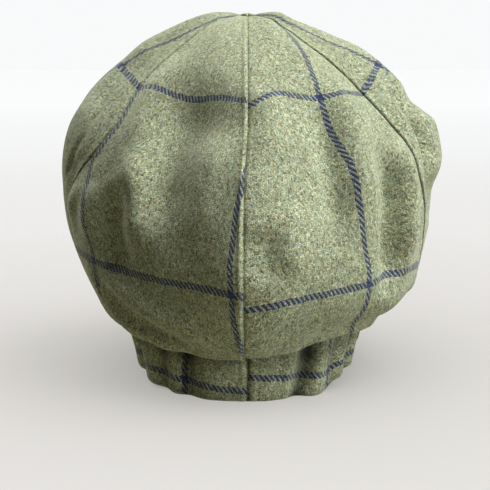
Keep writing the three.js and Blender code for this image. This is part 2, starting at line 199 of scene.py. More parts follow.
# ---- the cloth ----
# Across the panels and along them: from one yarn to the next, yarns from one navy line to the
# next, and yarns in a line.
YARN = (0.76, 1.0)
CHECK = (155, 121)
NAVY_YARNS = (5, 4)
PERIOD = (CHECK[0] * YARN[0], CHECK[1] * YARN[1])

# Where the navy lines run on each panel. line: rows of (level, share of the panel from its
# rear seam) for one line along the panel; next: the same for the line after it, where that one
# shows as well; upper and lower: the levels of the two lines across the panel, each as
# (middle, slope, bend) from seam to seam and its dip at the rear seam; finer: how much
# thinner the line along the panel gets towards the button.
FRONT_RINGS = dict(upper=(3.95, 0.0, 0.15, 0), lower=(7.7, 0.0, 0.3, 0))
CHECKS = {
    "crown_back_left": dict(
        line=[(2, -0.9), (4, -0.17), (5, -0.026), (6, 0.036), (7, 0.056), (8, 0.046), (9.3, 0)],
        next=[(3.2, 1.1), (4.1, 0.975), (4.6, 0.96), (5.2, 0.98), (5.8, 0.98), (6.1, 0.92),
              (6.35, 0.87), (6.6, 0.83), (6.9, 0.79), (7.15, 0.76), (7.6, 0.71), (9, 0.68)],
        upper=(3.85, 0.06, 0.17, 0.1), lower=(7.48, 0.25, 0.34, 0)),
    "crown_back_right": dict(
        line=[(1.4, 1.14), (2.1, 0.84), (2.5, 0.71), (3.1, 0.65), (3.5, 0.6), (4, 0.56), (4.6, 0.53),
              (5.3, 0.53), (6, 0.5), (6.6, 0.515), (7.4, 0.54), (8.5, 0.54)],
        upper=(3.93, 0.22, 0.09, 0.32), lower=(7.72, 0.2, 0.35, 0)),
    "crown_side_left": dict(
        finer=1.9,
        line=[(1.5, 0.1), (2, 0.08), (2.62, 0.17), (3.18, 0.23), (3.62, 0.3), (4.1, 0.4),
              (4.6, 0.48), (8, 0.5)],
        upper=(4.15, 0.12, 0.03, 0), lower=(8.3, 0.1, 0.1, 0)),
    "crown_side_right": dict(
        finer=1.6,
        line=[(1.6, 0.2), (2.38, 0.25), (2.84, 0.28), (3.31, 0.28), (3.77, 0.3), (4.17, 0.37),
              (4.6, 0.5), (8, 0.5)],
        upper=(4.15, -0.02, 0.07, 0), lower=(8.5, 0.0, 0.1, 0)),
    "crown_front_left": dict(line=[(3, 0.3), (8, 0.42)], **FRONT_RINGS),
    "crown_front_right": dict(line=[(3, 0.5), (8, 0.52)], **FRONT_RINGS),
}
FINER_UNTIL = (3.3, 4.2)  # levels
# The cloth before the next line that keeps its true width, and the share that it counts for
# by the left shoulder, where that line is wider.
NEXT_LINE = dict(room=12, over_shoulder=0.7)
# How far the rings' bends go on past the lower one, the reach of their dips, and the scale of
# the cloth below them.
RINGS = dict(spread=1.2, dip_reach=0.3, below=0.95)
SEAM_ALLOWANCE = 3  # cloth that a panel's seams take up
PEAK_LINES = (58, -100)  # a crossing of the navy lines on the peak's cloth, from the axis
# Where each panel starts, as across.
PANELS = dict(crown_back_left=0, crown_back_right=-1, crown_side_left=1, crown_side_right=-2,
              crown_front_left=2, crown_front_right=-3)
# From which degree to which each stretch of the band goes, the degree of its navy line, and
# rows of (degrees, height from the band's foot) for its ring.
BANDS = dict(
    band_back_left=(0, 90, 24, [(0, 6.5), (24, 10), (60, 12), (90, 13)]),
    band_back_right=(-90, 0, -31.4, [(0, 15.4), (31, 12), (60, 11), (90, 13)]),
    band_front=(90, 270, 150, [(90, 13), (270, 13)]))

# Columns and rows of the meshes. The tip, band and peak give start, end and count of their
# rows; the rows of the band's foot and of the peak's edge come closer, where those are round.
GRID = dict(
    crown_columns=125, closer_at_seams=0.75, tip=(0.3, 3, 36), crown_rows=126,
    cloth_columns=61, cloth_rows=240,
    band_columns=190, band_foot=(0.0, 0.012, 0.03, 0.055), band_rows=(0.09, 1, 26),
    peak_columns=121, peak_rows=(0, 0.9, 40), peak_edge=(0.93, 0.955, 0.975, 0.99, 0.997, 1),
    button_columns=73, button_rows=26)

# ---- camera and light ----
CAMERA = dict(lens=82.87, sensor=36, sees=(0.02, 40), place=(0.00311, 0.76765, 0.2),
              looks_down=9.2)
GLOW = ((1.0, 0.95, 0.68, 1), 0.02)
BACKDROP = (0.94, 0.955, 0.96, 1)
DAYLIGHT = (0.965, 0.98, 1.0)
# Lights on the cap: where each comes from, its spread, strength and colour.
CAP_LIGHTS = dict(
    key=((-0.5, 0.04, 0.87), 38, 5.0, DAYLIGHT),
    side_light=((-0.9, 0.4, 0.174), 38, 2.05, DAYLIGHT),
    rim_light=((0.5, -0.63, 0.62), 38, 2.2, (1.0, 1.0, 0.96)),
    fill=((0.71, 0.41, 0.57), 38, 0.3, (1.0, 0.94, 0.72)),
    bounce=((-0.15, 0.5, -0.85), 50, 0.95, (1.0, 0.935, 0.66)))
FLOOR_LIGHTS = dict(
    floor_key=((-0.6, 0.12, 0.8), 55, 0.4, (1.0, 0.99, 0.97)),
    floor_fill=((0, 0, 1), 120, 3.0, (1.0, 1.0, 1.0)))


# ---- tables and curves ----
def rising(low, high, x):
    """0 below low, 1 above high and smooth between them."""
    t = np.clip((np.asarray(x, float) - low) / (high - low), 0, 1)
    return t * t * (3 - 2 * t)


def falling(low, high, x):
    return 1 - rising(low, high, x)


def mix(a, b, share):
    return a + (b - a) * share


def bell(x, half_width):
    return np.exp(-(x / half_width) ** 2)


def shown(feature, level):
    """How much of a feature of the crown shows at a level."""
    low, full, fades, gone = SPANS[feature]
    return rising(low, full, level) * falling(fades, gone, level)


def by_seam(across, looks):
    """Picks from a row of looks the one for the nearest seam."""
    centre_left, centre_right, left, right = looks
    return np.where(np.abs(across) < 0.5, np.where(across > 0, centre_left, centre_right),
                    np.where(across > 0, left, right))


def level_at(level):
    """The crown's table between its rows, as a smooth curve through them."""
    at = np.clip(level, 0, HEM)
    i = np.minimum(at.astype(int), HEM - 1)
    t = (at - i)[..., None]
    b, c = LEVELS[i], LEVELS[i + 1]
    a = np.where((i > 0)[..., None], LEVELS[np.maximum(i - 1, 0)], 2 * b - c)
    d = np.where((i < HEM - 1)[..., None], LEVELS[np.minimum(i + 2, HEM)], 2 * c - b)
    curve = 0.5 * (2 * b + (c - a) * t + (2 * a - 5 * b + 4 * c - d) * t ** 2
                   + (3 * b - a - 3 * c + d) * t ** 3)
    return np.moveaxis(curve, -1, 0)


def outline(azimuth, half_width, half_depth, squareness):
    """Distance from the axis to an oval's edge."""
    across = np.abs(np.sin(azimuth)) / np.maximum(half_width, 1e-3)
    along = np.abs(np.cos(azimuth)) / np.maximum(half_depth, 1e-3)
    return (across ** squareness + along ** squareness) ** (-1 / squareness)


def place(azimuth, radius, y, height):
    """A point round the head's axis, moved back by y."""
    return np.stack(np.broadcast_arrays(
        radius * np.sin(azimuth), radius * np.cos(azimuth) + y, height), -1)


def unit(v):
    return v / np.maximum(np.linalg.norm(v, axis=-1, keepdims=True), 1e-9)


def soft_noise(x, y, seed):
    """Smooth noise from -1 to 1 with one value for each unit square."""
    def corner(i, j):
        h = np.sin(i * 127.1 + j * 311.7 + seed * 74.7) * 43758.5453
        return 2 * (h - np.floor(h)) - 1
    i, j = np.floor(x), np.floor(y)
    s, t = rising(0, 1, x - i), rising(0, 1, y - j)
    return mix(mix(corner(i, j), corner(i + 1, j), s),
               mix(corner(i, j + 1), corner(i + 1, j + 1), s), t)


# ---- crown surface ----
def crown_azimuth(across, level):
    """The angle round the head's axis, from the centre back."""
    drift = rising(*DRIFT_OVER, level)
    tuck = np.where(across > 0, SEAMS["left_tuck"] * shown("left_tuck", level),
                    SEAMS["right_tuck"] * shown("right_tuck", level))
    side = SEAMS["side"] + SEAMS["side_drift"] * drift - tuck
    front = SEAMS["front"] + SEAMS["front_drift"] * drift
    count = np.abs(across)
    panel = np.minimum(count.astype(int), 2)
    start = np.choose(panel, [np.zeros_like(side), side, front])
    end = np.choose(panel, [side, front, np.full_like(side, 180)])
    aside = SEAMS["centre_wander"] * bell(across, SEAMS["centre_reach"])
    return np.radians(mix(start, end, count - panel) * np.where(across < 0, -1, 1)
                      + aside * shown("centre_wander", level))


def overhang_lift(across, level):
    """How the overhang above the band rises on both sides and hangs lower in the middle."""
    rise = sum(lift * bell(across - at, half_width) for at, half_width, lift in OVERHANG)
    return rise * shown("overhang", level)


def smooth_crown(across, level):
    """A point of the crown before it puffs out and folds."""
    (back_reach, back_height, side_reach, side_height, front_reach, front_height,
     _, _, _, squareness) = level_at(level)
    azimuth = crown_azimuth(across, level)
    behind = np.cos(azimuth) > 0
    reach = np.where(behind, back_reach, front_reach)
    ends = np.where(behind, back_height, front_height)
    height = mix(ends, side_height, np.sin(azimuth) ** 4) + overhang_lift(across, level)
    lean = APEX["lean"] * (1 - np.minimum(level / APEX["until"], 1)) ** 2
    return place(azimuth, outline(azimuth, side_reach, reach, squareness), lean, height)


def to_seam(across, level):
    """Distance to the nearest seam."""
    return np.abs(across - np.round(across)) * (math.pi / 3) * level_at(level)[2]


def folded(folds, across, level):
    """How far a table of folds makes the cloth stand out."""
    narrowing = np.clip(level_at(level)[2] / FULL_REACH, *FOLD_NARROWING)
    total = np.zeros_like(across)
    for across_0, level_0, across_1, level_1, half_width, stand in folds:
        run = np.array([(across_1 - across_0) * PANEL_WIDTH, (level_1 - level_0) * LEVEL_STEP])
        length = math.hypot(*run)
        run /= length
        x = (across - across_0) * PANEL_WIDTH * narrowing
        y = (level - level_0) * LEVEL_STEP
        share = (x * run[0] + y * run[1]) / length
        aside = (x * run[1] - y * run[0]) / half_width
        fade = rising(*FOLD_COMES, share) * falling(*FOLD_GOES, share)
        total += stand * fade * np.exp(-aside ** 2)
    return total


def gather(degrees, up):
    """How far the band goes in at its valleys, as a negative depth."""
    top, foot, half_width, top_depth, foot_depth = GATHERS.T
    share = np.clip(up, 0, 1)[..., None]
    at, depth = mix(foot, top, share), mix(foot_depth, top_depth, share)
    return -(depth * np.exp(-((degrees[..., None] - at) / half_width) ** 2)).sum(-1)


def gathered(round_, up):
    """How much the band stands out or in by its gathers, which sway a little with height."""
    reach = falling(*GATHERS_END["degrees"], np.abs(round_)) * falling(*GATHERS_END["up"], up)
    sway = GATHER_SWAY["degrees"] * np.sin(
        up * GATHER_SWAY["with_height"] + round_ / GATHER_SWAY["with_degrees"])
    return reach * (gather(round_ + sway, up) + GATHER_SWELL)


def crown_stand(across, level):
    """How far the cloth stands off the smooth crown."""
    back_puff, side_puff, front_puff = level_at(level)[6:9]
    azimuth = crown_azimuth(across, level)
    ends = np.where(np.cos(azimuth) > 0, back_puff, front_puff)
    puff = mix(ends, side_puff, np.sin(azimuth) ** 4) * np.sin(math.pi * across) ** 2
    groove = (GROOVE["depth"] * by_seam(across, GROOVE["share"])
              * np.exp(-to_seam(across, level) / GROOVE["half_width"]) * shown("groove", level))
    pucker = HEM_PUCKER * gather(np.degrees(azimuth), 1 + 0 * across) * shown("pucker", level)
    folds = folded(FOLDS, across, level) * falling(*FOLDS_END, level)
    return puff - groove + pucker + folds


def crown_detail(across, level):
    """The seams' rolled edges and the small unevenness of worn cloth."""
    away = to_seam(across, level)
    rolled = by_seam(across, ROLLED_EDGE["stand"]) * bell(
        away - ROLLED_EDGE["from_seam"], ROLLED_EDGE["half_width"])
    pressed = by_seam(across, PRESSED_EDGE["depth"]) * bell(away, PRESSED_EDGE["half_width"])
    depth, reach, per_level, per_panel, seed = SEAM_PUCKER
    pucker = depth * soft_noise(level * per_level, across * per_panel, seed) * np.exp(-away / reach)
    x, y = across * PANEL_WIDTH, level * LEVEL_STEP
    uneven = sum(amount * soft_noise(x / wide, y / long, seed)
                 for wide, long, amount, seed in UNEVEN) * rising(0, UNEVEN_FROM_SEAM, away)
    creases = folded(CREASES, across, level)
    return (rolled - pressed + pucker + uneven + creases) * shown("detail", level)


def crown_normal(across, level):
    """The smooth crown's outward direction, from its places a small step to each side."""
    step, step_down = 0.004, 0.02
    inside = np.clip(level, 0.05, HEM - 0.05)
    wide = smooth_crown(across + step, inside) - smooth_crown(across - step, inside)
    down = smooth_crown(across, inside + step_down) - smooth_crown(across, inside - step_down)
    return unit(np.cross(wide, down))


# ---- band surface: round in degrees from the centre back, up from 0 to 1 ----
def band_point(round_, up):
    """A point of the band's outer face."""
    round_, up = np.broadcast_arrays(np.asarray(round_, float), np.asarray(up, float))
    azimuth = np.radians(round_)
    open_ = np.maximum(up, 0) ** BAND["taper"]
    half_width = mix(BAND["foot"][0], BAND["top"][0], open_)
    half_depth = mix(BAND["foot"][1], BAND["top"][1], open_)
    radius = outline(azimuth, half_width, half_depth, BAND["squareness"])
    tilted = RIM_TILT * (RIM_FLAT_FROM - radius * np.cos(azimuth))
    lift = rising(*RIM_LIFT["rises"], round_) * falling(*RIM_LIFT["falls"], round_)
    rim = np.maximum(tilted, 0) + RIM_LIFT["height"] * lift
    stand = GATHER_STAND * gathered(round_, up)
    for at, reach, depth, fades, gone in DRAWN_IN:
        stand = stand - depth * falling(fades, gone, up) * bell(round_ - at, reach)
    height = mix(rim, tilted + BAND["height"], up)
    return place(azimuth, radius + stand, 0, height)


# ---- meshes ----
def rolled_off(wall, inset):
    """What a rounded edge takes off a wall's face; inset is 0 at the edge and 1 inside it."""
    return wall / 2 * (1 - np.sqrt(1 - (1 - np.clip(inset, 0, 1)) ** 2))


def make_piece(name, points, faces, cloth, marks, materials, face_materials):
    """A mesh piece from points in mm, with the cloth's own coordinates in mm as its UV map."""
    mesh = bpy.data.meshes.new(name)
    at = (points + HEAD_AXIS) / 1000
    mesh.from_pydata(at.tolist(), [], faces.tolist())
    corners = np.empty(len(mesh.loops), int)
    mesh.loops.foreach_get("vertex_index", corners)
    uv = mesh.uv_layers.new(name="cloth")
    uv.data.foreach_set("uv", cloth[corners].astype(np.float32).ravel())
    for mark, values in marks.items():
        layer = mesh.attributes.new(mark, "FLOAT", "POINT")
        layer.data.foreach_set("value", values.astype(np.float32).ravel())
    for material in materials:
        mesh.materials.append(material)
    mesh.polygons.foreach_set("material_index", face_materials.astype(np.int32))
    mesh.polygons.foreach_set("use_smooth", np.ones(len(faces), bool))
    mesh.update()
    piece = bpy.data.objects.new(name, mesh)
    bpy.context.scene.collection.objects.link(piece)
    return piece


def shell_faces(rows, columns):
    """Faces of a closed shell: an outer grid, an inner grid and the four edges between."""
    o = np.arange(rows * columns).reshape(rows, columns)
    n = o + rows * columns
    def quads(a, b, c, d):
        return np.stack([a.ravel(), b.ravel(), c.ravel(), d.ravel()], 1)
    outer = quads(o[:-1, :-1], o[:-1, 1:], o[1:, 1:], o[1:, :-1])
    inner = quads(n[:-1, :-1], n[1:, :-1], n[1:, 1:], n[:-1, 1:])
    edges = [
        quads(o[:-1, 0], o[1:, 0], n[1:, 0], n[:-1, 0]),
        quads(o[:-1, -1], n[:-1, -1], n[1:, -1], o[1:, -1]),
        quads(o[0, :-1], n[0, :-1], n[0, 1:], o[0, 1:]),
        quads(o[-1, :-1], o[-1, 1:], n[-1, 1:], n[-1, :-1]),
    ]
    faces = np.concatenate([outer, *edges, inner])
    lining = np.zeros(len(faces), int)
    lining[-len(inner):] = 1
    return faces, lining


def make_shell(name, outer, inner, cloth, marks, materials):
    """A closed piece from the grids of its two faces: cloth outside, lining inside."""
    rows, columns = outer.shape[:2]
    faces, lining = shell_faces(rows, columns)
    points = np.concatenate([outer.reshape(-1, 3), inner.reshape(-1, 3)])
    flat = cloth.reshape(-1, 2)
    doubled = {k: np.concatenate([v.ravel(), v.ravel()]) for k, v in marks.items()}
    return make_piece(name, points, faces, np.concatenate([flat, flat]), doubled, materials,
                      lining)


def run_along(points, axis):
    """Distance over a grid of points, along one axis of the grid."""
    steps = np.linalg.norm(np.diff(points, axis=axis), axis=-1)
    start = np.zeros_like(np.take(steps, [0], axis))
    return np.concatenate([start, np.cumsum(steps, axis)], axis)


def beside_line(check, levels, width, from_back, level):
    """Distance over the cloth from the navy line that runs along the panel."""
    table = np.array(check["line"]).T
    line = np.interp(level, *table)
    slope = np.gradient(np.interp(levels, *table), levels) * width / LEVEL_STEP
    square_on = np.interp(level, levels, width) / np.sqrt(
        1 + np.interp(level, levels, slope) ** 2)
    past = from_back - line
    run = past * square_on * mix(check.get("finer", 1), 1, rising(*FINER_UNTIL, level))
    if "next" not in check:
        return run
    room = NEXT_LINE["room"]
    following = np.interp(level, *np.array(check["next"]).T) - line
    wider = mix(1, NEXT_LINE["over_shoulder"], shown("wider_line", level))
    before = (following - past) * square_on * wider
    between = past * (PERIOD[0] - room) / (following - room / square_on)
    return np.where(past < 0, run, np.where(before > room, between, PERIOD[0] - before))


def below_ring(check, levels, down, from_back, level):
    """Distance over the cloth from the upper navy line across the panel."""
    upper, lower = check["upper"], check["lower"]
    t = from_back * 2 - 1
    w = np.clip((level - upper[0]) / (lower[0] - upper[0]), 0, RINGS["spread"])
    slope, bend, dip = (mix(a, b, w) for a, b in zip(upper[1:], lower[1:]))
    straight = level - slope * t - bend * t ** 2 - dip * bell(t + 1, RINGS["dip_reach"])
    first_ring, second_ring = np.interp([upper[0], lower[0]], levels, down)
    apart = second_ring - first_ring
    v = np.interp(straight, levels, down) - first_ring
    return np.where(v < apart, v * PERIOD[1] / apart,
                    PERIOD[1] + RINGS["below"] * (v - apart))


def crown_cloth(name, first, share, level):
    """The cloth's own coordinates on a panel, so that its navy lines run where they should."""
    check = CHECKS[name]
    side = 1 if first >= 0 else -1
    from_back = share if side > 0 else 1 - share
    fine = np.linspace(0, 1, GRID["cloth_columns"])
    levels = np.linspace(0.2, HEM, GRID["cloth_rows"])
    grid = smooth_crown(first + fine[None, :] + 0 * levels[:, None], levels[:, None] + 0 * fine)
    width = run_along(grid, 1)[:, -1] + SEAM_ALLOWANCE
    down = run_along(grid, 0)[:, len(fine) // 2]
    u = -side * beside_line(check, levels, width, from_back, level)
    v = below_ring(check, levels, down, from_back, level)
    return np.stack([u, v], -1)


def crown_grid():
    """Share of the panel and level at each point of a panel's grid, closer near its seams."""
    even = np.linspace(0, 1, GRID["crown_columns"])
    share = mix(even, 0.5 - 0.5 * np.cos(math.pi * even), GRID["closer_at_seams"])
    start, end, rows = GRID["tip"]
    tip = np.linspace(start, end, rows)
    level = np.concatenate([tip[:-1], np.linspace(end, HEM, GRID["crown_rows"])])
    return np.meshgrid(share, level)


def crown_panel(name, first, materials):
    """One of the six panels, with its half of the look of each of its seams."""
    share, level = crown_grid()
    across = first + share
    out = crown_normal(across, level)
    # the seam at share 0 or 1 belongs to this panel
    near = np.clip(across, first + 1e-6, first + 1 - 1e-6)
    stand = crown_stand(near, level) + crown_detail(near, level)
    outer = smooth_crown(across, level) + out * stand[..., None]
    inner = outer - out * CLOTH
    away = to_seam(near, level)
    past_edge = np.maximum(away - SEAM_WEAR["from_seam"], 0)
    shade_reach = SEAM_SHADE["half_width"] + rising(*SEAM_SHADE["wider_over"], level)
    marks = {
        "worn": bell(past_edge, SEAM_WEAR["half_width"]) * rising(*SEAM_WEAR["over"], level),
        # painted shade in the seam's groove
        "painted_shade": bell(away, shade_reach) * by_seam(near, SEAM_SHADE["depth"]),
    }
    return make_shell(name + "_cloth", outer, inner, crown_cloth(name, first, share, level),
                      marks, materials)


def band_faces(round_, up):
    """The two faces of a stretch of the band, rolled at the foot, and how far its ends are."""
    start, end = round_.min(), round_.max()
    outer = band_point(round_, up)
    step = 0.2
    along = band_point(round_ + step, up) - band_point(round_ - step, up)
    inwards = unit(np.stack([along[..., 1], -along[..., 0], 0 * up], -1))
    height = up * BAND["height"]
    uneven = sum(amount * soft_noise(round_ / wide, height / high, seed)
                 for wide, high, amount, seed in BAND_UNEVEN) * rising(0, 3, height)
    roll = rolled_off(LINED_WALL, height / BAND["edge_roll"])
    from_end = np.minimum(round_ - start, end - round_) * BAND["mm_per_degree"]
    seam = sum(depth * bell(from_end - at, half_width) for depth, at, half_width in BAND_SEAM)
    inner = outer + inwards * (LINED_WALL - roll * 0.9)[..., None]
    return outer + inwards * (roll + seam - uneven)[..., None], inner, from_end


def band_shade(round_, up, from_end):
    """Painted shade where the band would be shaded: seams, gathers, under the overhang and the foot.
    """
    gathers = np.clip(-gathered(round_, up), 0, BAND_SHADE["deepest"])
    return (bell(from_end, BAND_SHADE["seam"]) + BAND_SHADE["gathers"] * gathers
            + BAND_SHADE["top"] * rising(*BAND_SHADE["top_from"], up)
            + BAND_SHADE["foot"] * falling(*BAND_SHADE["foot_until"], up))


def band_piece(name, start, end, line_at, line_up, materials):
    """A stretch of the band, from one degree to another."""
    round_ = np.linspace(start, end, GRID["band_columns"])
    up = np.concatenate([GRID["band_foot"], np.linspace(*GRID["band_rows"])])
    grid_round, grid_up = np.meshgrid(round_, up[::-1])
    outer, inner, from_end = band_faces(grid_round, grid_up)
    height = grid_up * BAND["height"]
    length = run_along(band_point(round_, 0 * round_ + 0.3), 0)
    u = np.interp(line_at, round_, length) - np.interp(grid_round, round_, length)
    v = np.interp(np.abs(grid_round), *np.array(line_up).T) - height
    marks = {
        "worn": bell(height - BAND_WEAR["up"], BAND_WEAR["half_width"]) + 0 * grid_round,
        # painted shade in the band's seams and gathers, under the overhang and at the foot
        "painted_shade": band_shade(grid_round, grid_up, from_end),
    }
    return make_shell(name + "_cloth", outer, inner, np.stack([u, v], -1), marks, materials)


def peak_point(aside, share, above):
    """A point of the peak: degrees from its middle, share of its length, height above it."""
    azimuth = math.pi + np.radians(aside)
    rim = band_point(180 + aside, 0 * aside)[..., 2]
    root = band_point(180 + aside, 0 * aside + PEAK["root_up"])
    radial = np.stack([np.sin(azimuth), np.cos(azimuth), 0 * azimuth], -1)
    forward = unit(mix(radial, np.array([0.0, -1.0, 0.0]), PEAK["forward"]))
    turn = aside / (PEAK["half_span"] + PEAK["end_margin"]) * (math.pi / 2)
    width = np.cos(turn) ** PEAK["round"]
    edge = PEAK["end_lift"] * rising(PEAK["end_lift_from"], PEAK["half_span"], np.abs(aside))
    fallen = np.minimum(share / PEAK["resting"], 1)
    camber = PEAK["camber"] * width * np.sin(math.pi * fallen)
    point = root + radial * PEAK["seam"] + forward * (PEAK["length"] * width * share)[..., None]
    point[..., 2] = mix(rim, edge, fallen) + camber + above
    return point


def peak_piece(materials):
    """The peak: two cloth faces that meet in a rounded edge all round the front."""
    turn = np.linspace(-math.pi / 2, math.pi / 2, GRID["peak_columns"])
    share = np.concatenate([np.linspace(*GRID["peak_rows"]), GRID["peak_edge"]])
    grid_aside, grid_share = np.meshgrid(PEAK["half_span"] * np.sin(turn), share)
    top = peak_point(grid_aside, grid_share, PEAK["thickness"])
    bottom = peak_point(grid_aside, grid_share, 0.0)
    edge = peak_point(grid_aside, 0 * grid_share + 1, 0.0)
    from_edge = np.linalg.norm((edge - bottom)[..., :2], axis=-1)
    from_end = (PEAK["half_span"] - np.abs(grid_aside)) * PEAK["mm_per_degree"]
    roll = rolled_off(PEAK["thickness"], np.minimum(from_edge, from_end) / PEAK["edge_roll"])
    sunk = bell(from_edge - STITCHES["from_edge"], STITCHES["sunk_width"])
    top[..., 2] -= roll + STITCHES["sunk"] * sunk
    bottom[..., 2] += roll * 0.6
    x, y = top[..., 0], top[..., 1]
    wide, amount, seed = PEAK_UNEVEN
    top[..., 2] += amount * soft_noise(x / wide, y / wide, seed)
    cloth = np.stack([PEAK_LINES[0] - x, PEAK_LINES[1] - y], -1)
    marks = {"from_edge": from_edge, "along_edge": run_along(edge, 1),
             "worn": bell(from_edge, PEAK["wear"]), "painted_shade": 0 * from_edge}
    return make_shell("peak_cover", top, bottom, cloth, marks, materials)


def button_piece(materials):
    """A small covered button: the cloth is drawn over a dome and gathered under its edge."""
    turn, ring = np.meshgrid(np.linspace(0, 2 * math.pi, GRID["button_columns"]),
                             np.linspace(0, 1, GRID["button_rows"]))
    over = np.minimum(ring / BUTTON["edge_at"], 1) * math.pi / 2
    under = rising(BUTTON["edge_at"], 1, ring)
    gathers = BUTTON["gather"] * np.sin(turn * BUTTON["gathers"]) * rising(0.45, 0.9, ring)
    radius = BUTTON["cover"] * BUTTON["radius"] * np.sin(over) * (1 - BUTTON["tuck"] * under)
    radius = radius + gathers
    dent = BUTTON["dent"] * np.sin(turn * 3 + 1) * (1 - ring)
    height = BUTTON["rise"] * np.cos(over) - BUTTON["lower"] - BUTTON["sunk"] * under + dent
    dome = np.stack([radius * np.sin(turn), APEX["lean"] + radius * np.cos(turn),
                     BUTTON["foot"] + height], -1)
    middle = np.array([0, APEX["lean"], BUTTON["foot"] - BUTTON["sunk"] / 2])
    core = middle + (dome - middle) * BUTTON["core"]
    cloth = dome[..., :2] + BUTTON["plain_cloth"]
    # a worn top, and painted shade under the edge where the cloth is gathered
    marks = {"worn": 0.6 * (1 - ring), "painted_shade": 0.5 * under}
    return make_shell("button_cover", dome, core, cloth, marks, materials)


# ---- materials ----
class Graph:
    """A material's node tree, built by short calls. Each takes values or sockets."""

    def __init__(self, name):
        self.material = bpy.data.materials.new(name)
        self.material.use_nodes = True
        self.tree = self.material.node_tree
        self.shader = next(n for n in self.tree.nodes if n.type == "BSDF_PRINCIPLED")

    def plug(self, value, socket):
        """Links a socket to an input, or sets the input's own value."""
        if isinstance(value, bpy.types.NodeSocket):
            self.tree.links.new(value, socket)
        else:
            socket.default_value = value

    def node(self, kind, inputs, **settings):
        """Adds a node and plugs its inputs, given by name or number. Gives its outputs."""
        made = self.tree.nodes.new(kind)
        for key, value in settings.items():
            setattr(made, key, value)
        for key, value in inputs.items():
            self.plug(value, made.inputs[key])
        return made.outputs

    def calc(self, operation, *values):
        return self.node("ShaderNodeMath", dict(enumerate(values)), operation=operation)[0]

    def plus(self, a, b):
        return self.calc("ADD", a, b)

    def minus(self, a, b):
        return self.calc("SUBTRACT", a, b)

    def times(self, a, b):
        return self.calc("MULTIPLY", a, b)

    def scaled(self, value, factor, offset):
        return self.calc("MULTIPLY_ADD", value, factor, offset)

    def choose(self, which, if_one, if_zero):
        """One of two values, by a value that is 1 or 0."""
        return self.node("ShaderNodeMix", {0: which, 2: if_zero, 3: if_one},
                         data_type="FLOAT")[0]

    def blend(self, share, a, b, mode="MIX"):
        """Mixes two colours."""
        return self.node("ShaderNodeMix", {0: share, 6: a, 7: b}, data_type="RGBA",
                         blend_type=mode)[2]

    def cloth_place(self):
        return self.node("ShaderNodeUVMap", {}, uv_map="cloth")[0]

    def split(self, vector):
        """The x, y and z of a vector."""
        return self.node("ShaderNodeSeparateXYZ", {0: vector})

    def vector(self, x, y, z):
        return self.node("ShaderNodeCombineXYZ", {0: x, 1: y, 2: z})[0]

    def scatter(self, vector):
        """A value of its own for each place."""
        return self.node("ShaderNodeTexWhiteNoise", {"Vector": vector},
                         noise_dimensions="3D")["Value"]

    def noise(self, vector, scale, detail=2.0, roughness=0.5):
        inputs = {"Vector": vector, "Scale": scale, "Detail": detail, "Roughness": roughness}
        return self.node("ShaderNodeTexNoise", inputs, noise_dimensions="3D")["Fac"]

    def ramp(self, value, stops):
        """A colour from rows of (position, colour), mixed between them."""
        made = self.tree.nodes.new("ShaderNodeValToRGB")
        elements = made.color_ramp.elements
        while len(elements) < len(stops):
            elements.new(0.5)
        for element, (position, colour) in zip(elements, stops):
            element.position = position
            element.color = (*colour, 1)
        self.plug(value, made.inputs[0])
        return made.outputs[0]

    def mark(self, name):
        """A measure that a piece carries at its points."""
        return self.node("ShaderNodeAttribute", {}, attribute_name=name)["Fac"]

    def bump(self, height, strength, distance, **under):
        """A surface's direction over a height; Normal gives the bump that it lies on."""
        return self.node("ShaderNodeBump", {
            "Strength": strength, "Distance": distance, "Height": height, **under})[0]

    def finished(self, looks):
        """Plugs the looks into the shader's inputs and gives the material."""
        for name, value in looks.items():
            self.plug(value, self.shader.inputs[name])
        return self.material


def linear(*srgb):
    """A colour given as 8-bit sRGB, as Blender wants it."""
    return tuple((c / 255 / 12.92) if c <= 10 else ((c / 255 + 0.055) / 1.055) ** 2.4
                 for c in srgb)


MELANGE = [
    (0.0, linear(46, 50, 30)),
    (0.1, linear(86, 92, 64)),
    (0.24, linear(128, 136, 106)),
    (0.42, linear(152, 160, 132)),
    (0.58, linear(184, 188, 142)),
    (0.72, linear(124, 150, 146)),
    (0.85, linear(226, 228, 186)),
    (0.95, linear(132, 110, 72)),
]
NAVY = [(0.0, linear(20, 24, 54)), (0.5, linear(34, 41, 84)), (0.85, linear(62, 72, 120))]
CROSSING_NAVY = 0.3  # how much of the navy shows on the yarns that cross its line
WEAVE_SWAY = 1.6
FLECKS_A_YARN = 1.4
BETWEEN_YARNS = 0.64  # the light that is left there
# How much the marks change the colour: worn places lighter, painted shade darker.
SHADED_BY = dict(worn=0.14, painted_shade=-0.55)
THREAD = [(0.0, linear(104, 108, 78)), (0.5, linear(150, 156, 118)),
          (1.0, linear(116, 120, 88))]
SATIN = [(0.25, linear(46, 54, 44)), (0.75, linear(66, 76, 60))]
# The floor's colour by its distance from the cap: a painted light falloff, darker near the cap and
# lighter further off.
PALE_FLOOR = [(0.03, (0.72, 0.7, 0.68)), (0.12, (0.8, 0.79, 0.78)),
              (0.4, (0.87, 0.88, 0.885)), (0.95, (0.93, 0.945, 0.95))]
FLOOR_FADES_OVER = 5.0


def yarn_places(g, uv):
    """Places on the cloth counted in yarns, along a weave that sways a little."""
    wobble = g.noise(uv, scale=0.09)
    sway = g.times(g.minus(wobble, 0.5), WEAVE_SWAY)
    along = g.split(uv)
    return [g.calc("DIVIDE", g.plus(along[axis], sway), YARN[axis]) for axis in (0, 1)]


def rounded(g, share, power):
    """1 in the middle of a share from 0 to 1 and 0 at its ends."""
    from_middle = g.calc("ABSOLUTE", g.scaled(share, 2.0, -1.0))
    return g.minus(1.0, g.calc("POWER", from_middle, power))


